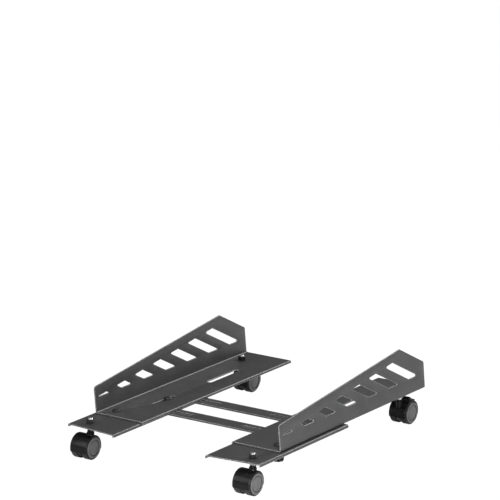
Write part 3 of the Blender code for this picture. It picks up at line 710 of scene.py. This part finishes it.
def lever_opening(corner, axle_spot, radius):
    """Cutter for the part of the hood in which the brake lever works, behind the pin."""
    lever_low, lever_high = span(corner + "_brake_lever")
    reach = (lever_high.x - lever_low.x) / 2 + SLIDE_GAP
    start, end = LEVER_GAP
    outline = (arc((0, axle_spot.z), radius - 3, start, end, 16)
               + arc((0, axle_spot.z), radius + 8, end, start, 16))
    cutter = bmesh.new()
    prism(cutter, outline, -reach, reach, SIDEWAYS)
    return cutter


def brake_ears(bm, corner, axle_spot, radius):
    """Two ears on the hood that carry the brake pin."""
    pin = middle(corner + "_brake_pin")
    pin_low, pin_high = span(corner + "_brake_pin")
    lever_low, lever_high = span(corner + "_brake_lever")
    back, rise = pin.y - axle_spot.y, pin.z
    tilt = math.degrees(math.atan2(back, rise - axle_spot.z))
    rooted = radius - HOOD_THICK / 2
    outline = arc((back, rise), EAR_R, -20 - tilt, 200 - tilt, 20)
    outline += arc((0, axle_spot.z), rooted, 102 - tilt, 78 - tilt, 8)
    near = (lever_high.x - lever_low.x) / 2 + 0.4
    far = (pin_high.x - pin_low.x) / 2
    for sign in (1, -1):
        ends = sorted((sign * near, sign * far))
        prism(bm, outline, ends[0], ends[1], SIDEWAYS, 0.35)


def wheel(corner, word, look):
    """Wheel: crowned tread, a stepped shoulder, and a raised cap with a ring groove and a low dome."""
    node = f"{corner}_wheel_{word}"
    low, high = span(node)
    centre = middle(node)
    radius = (high.z - low.z) / 2
    wide = high.x - low.x
    shoulder = wide - CAP_RISE
    bore = AXLE_R + 0.1
    turned = [(DISH_R, wide - 0.75), (DISH_R + 0.1, wide - 1.3), (DISH_R + 1.1, wide - 1.3),
              (DISH_R + 1.3, wide - 0.2), (CAP_R - 1.4, wide), (CAP_R, wide - 0.9),
              (CAP_R, shoulder - 0.9), (CAP_R + 0.5, shoulder - 0.9), (CAP_R + 0.7, shoulder - 0.3),
              (radius - 0.5, shoulder - 0.3), (radius, shoulder - 1.0), (radius, 1.2),
              (radius - 1.0, 0.0), (bore, 0.0), (bore, wide - AXLE_SHORT), (0.0, wide - AXLE_SHORT)]
    eased = (0.3, 0.2, 0.2, 0.3, 0.8, 0.5, 0.2, 0.1, 0.15, 0.3, 0.5, 0.8, 0.4, 0.2, 0, 0)
    face = [(0.0, wide - 0.1)]
    face += [(r, wide - 0.1 - 0.55 * (r / DISH_R) ** 2) for r in (2.5, 5.0, 7.5, 10.0)]
    profile = face + rounded([face[-1]] + turned, (0,) + eased, 4, closed=False)[1:]
    bm = bmesh.new()
    facing = 1 if word == "right" else -1
    place = Matrix.Rotation(facing * math.pi / 2, 4, "Y") @ Matrix.Translation((0, 0, -wide / 2))
    lathe(bm, profile, 96, place)
    return finish(bm, node, "_rim", look, centre)


def axle(corner, look):
    node = corner + "_axle"
    low, high = span(node)
    centre = middle(node)
    half = (high.x - low.x) / 2
    bm = bmesh.new()
    rod = soft([(0.0, -half), (AXLE_R, -half), (AXLE_R, half), (0.0, half)], 0.4)
    lathe(bm, rod, 48, ACROSS)
    return finish(bm, node, "_rod", look, centre)


def brake(corner, lever_look, pin_look):
    """Foot lever with a rounded boss, a ribbed pedal and an upturned toe, and its pin."""
    node = corner + "_brake_lever"
    pin_node = corner + "_brake_pin"
    low, high = span(node)
    pin = middle(pin_node)
    half = (high.x - low.x) / 2
    upper = [(-2.3, 0.6), (-1.2, 2.0), (0.8, 2.3), (5.0, 1.2), (10.0, -2.2), (14.5, -6.0),
             (17.6, -7.2), (20.5, -6.4)]
    lower = [(20.8, -7.6), (17.6, -9.2), (13.6, -8.2), (9.0, -4.7), (5.6, -3.6), (3.8, -3.1),
             (1.2, -2.1), (-1.4, -1.9)]
    radii = (1.2, 1.0, 1.6, 5.0, 5.0, 4.0, 3.0, 0.5, 0.5, 3.0, 5.0, 4.0, 0.8, 1.0, 1.0, 0.6)
    outline = rounded(upper + lower, radii, 5)
    bm = bmesh.new()
    prism(bm, outline, -half, half, SIDEWAYS, 0.45)
    for step in range(4):
        start = Vector((7.6 + 1.7 * step, -0.35 - 1.35 * step))
        end = start + Vector((0.8, -0.62))
        ridge = [(start.x, start.y - 0.9), (start.x, start.y), (end.x, end.y), (end.x, end.y - 0.9)]
        prism(bm, ridge, -half + 1.2, half - 1.2, SIDEWAYS, 0.15)
    finish(bm, node, "_pedal", lever_look, (pin.x, pin.y, pin.z))

    low, high = span(pin_node)
    reach = (high.x - low.x) / 2
    pin_r = (high.z - low.z) / 2
    bm = bmesh.new()
    rod = soft([(0.0, -reach), (pin_r, -reach), (pin_r, reach), (0.0, reach)], 0.2)
    lathe(bm, rod, 32, ACROSS)
    finish(bm, pin_node, "_rod", pin_look, pin)


# ---------------------------------------------------------------- materials

def new_material(name):
    material = bpy.data.materials.new(name)
    material.use_nodes = True
    tree = material.node_tree
    return material, tree, tree.nodes["Principled BSDF"]


def add_node(tree, kind, **inputs):
    """New shader node; inputs are given by name, with underscores for spaces."""
    node = tree.nodes.new(kind)
    for name, value in inputs.items():
        node.inputs[name.replace("_", " ")].default_value = value
    return node


def noise(tree, scale, detail=3.0, roughness=0.55, stretch=(1, 1, 1)):
    """Noise value in the piece's own coordinates; scale is in features per metre."""
    place = tree.nodes.new("ShaderNodeTexCoord")
    mapping = add_node(tree, "ShaderNodeMapping", Scale=stretch)
    texture = add_node(tree, "ShaderNodeTexNoise", Scale=scale, Detail=detail, Roughness=roughness)
    tree.links.new(place.outputs["Object"], mapping.inputs["Vector"])
    tree.links.new(mapping.outputs["Vector"], texture.inputs["Vector"])
    return texture.outputs["Fac"]


def spread(tree, value, low, high, start=0.3, end=0.7):
    """Map the middle of a value's range onto low to high."""
    node = add_node(tree, "ShaderNodeMapRange", From_Min=start, From_Max=end, To_Min=low, To_Max=high)
    tree.links.new(value, node.inputs["Value"])
    return node.outputs["Result"]


def blend_colour(tree, factor, first, second):
    node = tree.nodes.new("ShaderNodeMix")
    node.data_type = "RGBA"
    for socket, colour in (("A", first), ("B", second)):
        inputs = [item for item in node.inputs if item.name == socket and item.type == "RGBA"]
        if isinstance(colour, tuple):
            inputs[0].default_value = (*colour, 1.0)
        else:
            tree.links.new(colour, inputs[0])
    tree.links.new(factor, node.inputs["Factor"])
    return next(item for item in node.outputs if item.type == "RGBA")


def bump(tree, shader, value, height, strength=1.0, under=None):
    node = add_node(tree, "ShaderNodeBump", Strength=strength, Distance=height * MM)
    tree.links.new(value, node.inputs["Height"])
    if under is not None:
        tree.links.new(under, node.inputs["Normal"])
    tree.links.new(node.outputs["Normal"], shader.inputs["Normal"])
    return node.outputs["Normal"]


def edge_mask(tree, width):
    """1 on outside edges, 0 on flat faces: the rounded normal leans away from the true one. On the
    powder coat it carries a painted edge highlight, on the black oxide paler wear on the edges.
    """
    rounded_normal = add_node(tree, "ShaderNodeBevel", Radius=width * MM)
    rounded_normal.samples = 4
    geometry = tree.nodes.new("ShaderNodeNewGeometry")
    dot = tree.nodes.new("ShaderNodeVectorMath")
    dot.operation = "DOT_PRODUCT"
    tree.links.new(rounded_normal.outputs["Normal"], dot.inputs[0])
    tree.links.new(geometry.outputs["Normal"], dot.inputs[1])
    return spread(tree, dot.outputs["Value"], 1.0, 0.0, 0.92, 0.998)


def powder_coat():
    """Black powder coat with a fine cured texture, and a painted highlight along the edges where they
    would catch the light.
    """
    material, tree, shader = new_material("powder_coat")
    shade = blend_colour(tree, spread(tree, noise(tree, 26, 4), 0.0, 1.0),
                         (0.034, 0.034, 0.0355), (0.046, 0.046, 0.047))
    fleck = spread(tree, noise(tree, 1900, 2), 0.0, 1.0, 0.62, 0.75)
    shade = blend_colour(tree, fleck, shade, (0.075, 0.075, 0.077))
    # painted highlight: pale colour along every edge and fold, standing in for the light they catch
    shade = blend_colour(tree, edge_mask(tree, 1.0), shade, (0.60, 0.60, 0.605))
    tree.links.new(shade, shader.inputs["Base Color"])
    tree.links.new(spread(tree, noise(tree, 160, 4), 0.36, 0.45), shader.inputs["Roughness"])
    shader.inputs["Specular IOR Level"].default_value = 0.55
    coarse = bump(tree, shader, noise(tree, 420, 2), 0.05, 0.35)
    bump(tree, shader, noise(tree, 1500, 3, 0.6), 0.06, 0.55, coarse)
    return material


def moulded_nylon():
    """Satin black moulded plastic with a faint grain and soft handling marks."""
    material, tree, shader = new_material("moulded_nylon")
    shade = blend_colour(tree, spread(tree, noise(tree, 90, 4), 0.0, 1.0),
                         (0.004, 0.004, 0.0042), (0.008, 0.008, 0.0083))
    tree.links.new(shade, shader.inputs["Base Color"])
    grain = noise(tree, 2600, 2)
    tree.links.new(spread(tree, noise(tree, 300, 5, 0.65), 0.24, 0.34), shader.inputs["Roughness"])
    shader.inputs["Specular IOR Level"].default_value = 0.2
    bump(tree, shader, grain, 0.02, 0.5)
    return material


def times(tree, first, second):
    """Product of two values."""
    node = tree.nodes.new("ShaderNodeMath")
    node.operation = "MULTIPLY"
    tree.links.new(first, node.inputs[0])
    tree.links.new(second, node.inputs[1])
    return node.outputs["Value"]


def wheel_nylon():
    """Black wheel with a painted grey reflection on its raised face, left off in the ring groove, and a
    dusty, scuffed tread.
    """
    material, tree, shader = new_material("wheel_nylon")
    place = tree.nodes.new("ShaderNodeTexCoord")
    split = tree.nodes.new("ShaderNodeSeparateXYZ")
    tree.links.new(place.outputs["Object"], split.inputs["Vector"])
    flat = tree.nodes.new("ShaderNodeCombineXYZ")
    tree.links.new(split.outputs["Y"], flat.inputs["Y"])
    tree.links.new(split.outputs["Z"], flat.inputs["Z"])
    length = tree.nodes.new("ShaderNodeVectorMath")
    length.operation = "LENGTH"
    tree.links.new(flat.outputs["Vector"], length.inputs[0])
    reach = length.outputs["Value"]
    body = blend_colour(tree, spread(tree, noise(tree, 120, 3), 0.0, 1.0),
                        (0.008, 0.008, 0.0083), (0.013, 0.013, 0.0134))
    tread = spread(tree, reach, 0.0, 1.0, 18.6 * MM, 19.6 * MM)
    dust = spread(tree, noise(tree, 420, 5, 0.7), 0.0, 1.0, 0.45, 0.7)
    body = blend_colour(tree, times(tree, tread, dust), body, (0.034, 0.033, 0.032))
    # painted reflection: the raised face is painted grey where it would mirror the bright surround;
    # groove and rim keep the wheel's own black
    face = blend_colour(tree, spread(tree, noise(tree, 150, 4), 0.0, 1.0),
                        (0.084, 0.084, 0.086), (0.108, 0.108, 0.110))
    beyond_face = spread(tree, reach, 0.0, 1.0, (CAP_R - 0.5) * MM, (CAP_R - 0.1) * MM)
    groove = times(tree, spread(tree, reach, 0.0, 1.0, (DISH_R - 0.1) * MM, (DISH_R + 0.1) * MM),
                   spread(tree, reach, 1.0, 0.0, (DISH_R + 1.1) * MM, (DISH_R + 1.3) * MM))
    shade = blend_colour(tree, groove, face, body)
    shade = blend_colour(tree, beyond_face, shade, body)
    tree.links.new(shade, shader.inputs["Base Color"])
    tree.links.new(spread(tree, noise(tree, 260, 4), 0.33, 0.45), shader.inputs["Roughness"])
    rings = add_node(tree, "ShaderNodeTexWave", Scale=900.0, Distortion=0.6, Detail=1.0)
    rings.wave_type = "RINGS"
    rings.rings_direction = "X"
    tree.links.new(place.outputs["Object"], rings.inputs["Vector"])
    fine = bump(tree, shader, rings.outputs["Fac"], 0.01, 0.35)
    bump(tree, shader, noise(tree, 1800, 3), 0.02, 0.4, fine)
    return material


def bright_zinc():
    """Bright zinc plating with drawn streaks and a trace of blue and yellow passivation."""
    material, tree, shader = new_material("bright_zinc")
    tint = blend_colour(tree, spread(tree, noise(tree, 200, 3), 0.0, 1.0),
                        (0.66, 0.68, 0.72), (0.78, 0.76, 0.70))
    tree.links.new(tint, shader.inputs["Base Color"])
    shader.inputs["Metallic"].default_value = 1.0
    streaks = noise(tree, 600, 4, 0.6, (1, 1, 0.08))
    tree.links.new(spread(tree, streaks, 0.20, 0.38), shader.inputs["Roughness"])
    bump(tree, shader, streaks, 0.01, 0.4)
    return material


def black_oxide():
    """Blackened steel with a faint brown bloom and paler high spots."""
    material, tree, shader = new_material("black_oxide")
    shade = blend_colour(tree, spread(tree, noise(tree, 240, 4), 0.0, 1.0),
                         (0.045, 0.045, 0.048), (0.075, 0.070, 0.066))
    shade = blend_colour(tree, edge_mask(tree, 0.35), shade, (0.24, 0.235, 0.23))
    tree.links.new(shade, shader.inputs["Base Color"])
    shader.inputs["Metallic"].default_value = 0.85
    tree.links.new(spread(tree, noise(tree, 700, 3), 0.30, 0.46), shader.inputs["Roughness"])
    bump(tree, shader, noise(tree, 2200, 2), 0.015, 0.5)
    return material


def studio_floor():
    """Pale sweep floor, partly lit from within as a light table is, so shadows on it stay faint."""
    material, tree, shader = new_material("studio_floor")
    shade = blend_colour(tree, spread(tree, noise(tree, 1.4, 3), 0.0, 1.0),
                         (0.90, 0.90, 0.905), (0.93, 0.93, 0.93))
    tree.links.new(shade, shader.inputs["Base Color"])
    shader.inputs["Roughness"].default_value = 0.75
    shader.inputs["Specular IOR Level"].default_value = 0.25
    bump(tree, shader, noise(tree, 60, 4), 0.2, 0.15)
    glow = add_node(tree, "ShaderNodeEmission", Color=(1.0, 1.0, 1.0, 1.0), Strength=FLOOR_GLOW)
    both = add_node(tree, "ShaderNodeMixShader")
    path = tree.nodes.new("ShaderNodeLightPath")
    share = tree.nodes.new("ShaderNodeMath")
    share.operation = "MULTIPLY"
    share.inputs[1].default_value = FLOOR_GLOW_SHARE
    tree.links.new(path.outputs["Is Camera Ray"], share.inputs[0])
    tree.links.new(share.outputs["Value"], both.inputs["Fac"])
    tree.links.new(shader.outputs["BSDF"], both.inputs[1])
    tree.links.new(glow.outputs["Emission"], both.inputs[2])
    output = next(item for item in tree.nodes if item.type == "OUTPUT_MATERIAL")
    tree.links.new(both.outputs["Shader"], output.inputs["Surface"])
    return material


# ---------------------------------------------------------------- stage

CAMERA_AZIMUTH = 34.79
CAMERA_ELEVATION = 14.68
CAMERA_DISTANCE = 5.6
CAMERA_AIM = (0.0, 0.0033, 0.3165)
CAMERA_LENS = 252.0
FLOOR_GLOW = 1.06         # brightness of the floor's own light, seen by the camera only
FLOOR_GLOW_SHARE = 0.94   # its share of the floor's look, against the lit surface
SURROUND_SEEN = 1.0       # brightness of the white surround in the picture
HORIZON_LIGHT = 0.06      # brightness of the surround as a light source, at floor level
ZENITH_LIGHT = 0.34       # and overhead


def direction(azimuth, elevation):
    """Unit vector from the object towards a viewer; azimuth 0 is the front, 90 the right-hand side."""
    a, e = math.radians(azimuth), math.radians(elevation)
    return Vector((math.sin(a) * math.cos(e), -math.cos(a) * math.cos(e), math.sin(e)))


def camera():
    data = bpy.data.cameras.new("camera")
    data.lens = CAMERA_LENS
    data.sensor_width = 36.0
    data.clip_end = 60.0
    obj = bpy.data.objects.new("camera", data)
    back = direction(CAMERA_AZIMUTH, CAMERA_ELEVATION)
    obj.location = Vector(CAMERA_AIM) + back * CAMERA_DISTANCE
    obj.rotation_mode = "QUATERNION"
    obj.rotation_quaternion = (-back).to_track_quat("-Z", "Y")
    bpy.context.scene.collection.objects.link(obj)
    bpy.context.scene.camera = obj


def softbox(name, azimuth, elevation, distance, width, height, power, aim=(0, 0, 0.07)):
    data = bpy.data.lights.new(name, "AREA")
    data.shape = "RECTANGLE"
    data.size = width
    data.size_y = height
    data.energy = power
    obj = bpy.data.objects.new(name, data)
    towards = direction(azimuth, elevation)
    obj.location = Vector(aim) + towards * distance
    obj.rotation_mode = "QUATERNION"
    obj.rotation_quaternion = towards.to_track_quat("Z", "Y")
    bpy.context.scene.collection.objects.link(obj)


def studio():
    """Pale round floor, white surround and four softboxes, placed by azimuth and elevation."""
    bm = bmesh.new()
    rings = [[(0.0, 0.0, 0.0)]]
    for radius in (0.5, 1.0, 2.0, 4.0, 8.0, 16.0, 30.0):
        rings.append([(x, y, 0.0) for x, y in circle((0.0, 0.0), radius, 96)])
    loft(bm, rings)
    bmesh.ops.delete(bm, geom=[face for face in bm.faces if len(face.verts) > 4], context="FACES")
    mesh = bpy.data.meshes.new("floor")
    bm.to_mesh(mesh)
    bm.free()
    mesh.materials.append(studio_floor())
    floor = bpy.data.objects.new("floor", mesh)
    bpy.context.scene.collection.objects.link(floor)

    world = bpy.data.worlds.new("studio")
    world.use_nodes = True
    tree = world.node_tree
    background = tree.nodes["Background"]
    background.inputs["Color"].default_value = (1.0, 1.0, 1.0, 1.0)
    path = tree.nodes.new("ShaderNodeLightPath")
    place = tree.nodes.new("ShaderNodeTexCoord")
    split = tree.nodes.new("ShaderNodeSeparateXYZ")
    tree.links.new(place.outputs["Generated"], split.inputs["Vector"])
    lit = spread(tree, split.outputs["Z"], HORIZON_LIGHT, ZENITH_LIGHT, 0.05, 0.8)
    strength = add_node(tree, "ShaderNodeMapRange", To_Max=SURROUND_SEEN)
    tree.links.new(path.outputs["Is Camera Ray"], strength.inputs["Value"])
    tree.links.new(lit, strength.inputs["To Min"])
    tree.links.new(strength.outputs["Result"], background.inputs["Strength"])
    bpy.context.scene.world = world
    softbox("key_right", 46, 15, 0.7, 0.4, 0.35, 6.5, (0.18, -0.24, 0.04))
    softbox("overhead", 20, 78, 1.8, 1.2, 1.2, 7.5)
    softbox("front_left", -30, 24, 1.8, 0.8, 1.0, 8.0)
    softbox("rim_back", 163, 36, 1.7, 1.1, 0.3, 18.0)
    bpy.context.scene.view_settings.view_transform = "Standard"


# ---------------------------------------------------------------- build

def build():
    coat = powder_coat()
    nylon = moulded_nylon()
    tyre = wheel_nylon()
    zinc = bright_zinc()
    oxide = black_oxide()
    for end in ("front", "rear"):
        cross_bar(end, coat)
    for word, side in (("right", 1), ("left", -1)):
        rail(word, side, coat)
        side_bracket(word, side, coat)
        knob(word, nylon)
        domed_bolt("clamp_bolt_" + word, oxide)
        domed_bolt("guide_bolt_" + word, oxide)
        washer("clamp_washer_" + word, STUD_R + WASHER_GAP, zinc)
        nut("guide_nut_" + word, oxide, STUD_R)
        for end in ("front", "rear"):
            stud(f"{end}_bar_stud_{word}", oxide)
            nut(f"{end}_bar_nut_{word}", oxide, STUD_R)
            corner = f"{end}_{word}"
            sheet_top = span("rail_" + word)[1].z + (SLIDE_GAP + SHEET if end == "rear" else 0)
            stem(corner + "_stem", sheet_top, zinc)
            washer(corner + "_stem_washer", STEM_R + WASHER_GAP, zinc)
            nut(corner + "_stem_nut", oxide, STEM_R)
            hood(corner, nylon)
            axle(corner, zinc)
            for hand in ("right", "left"):
                wheel(corner, hand, tyre)
            if end == "rear":
                brake(corner, nylon, zinc)


build()
studio()
camera()
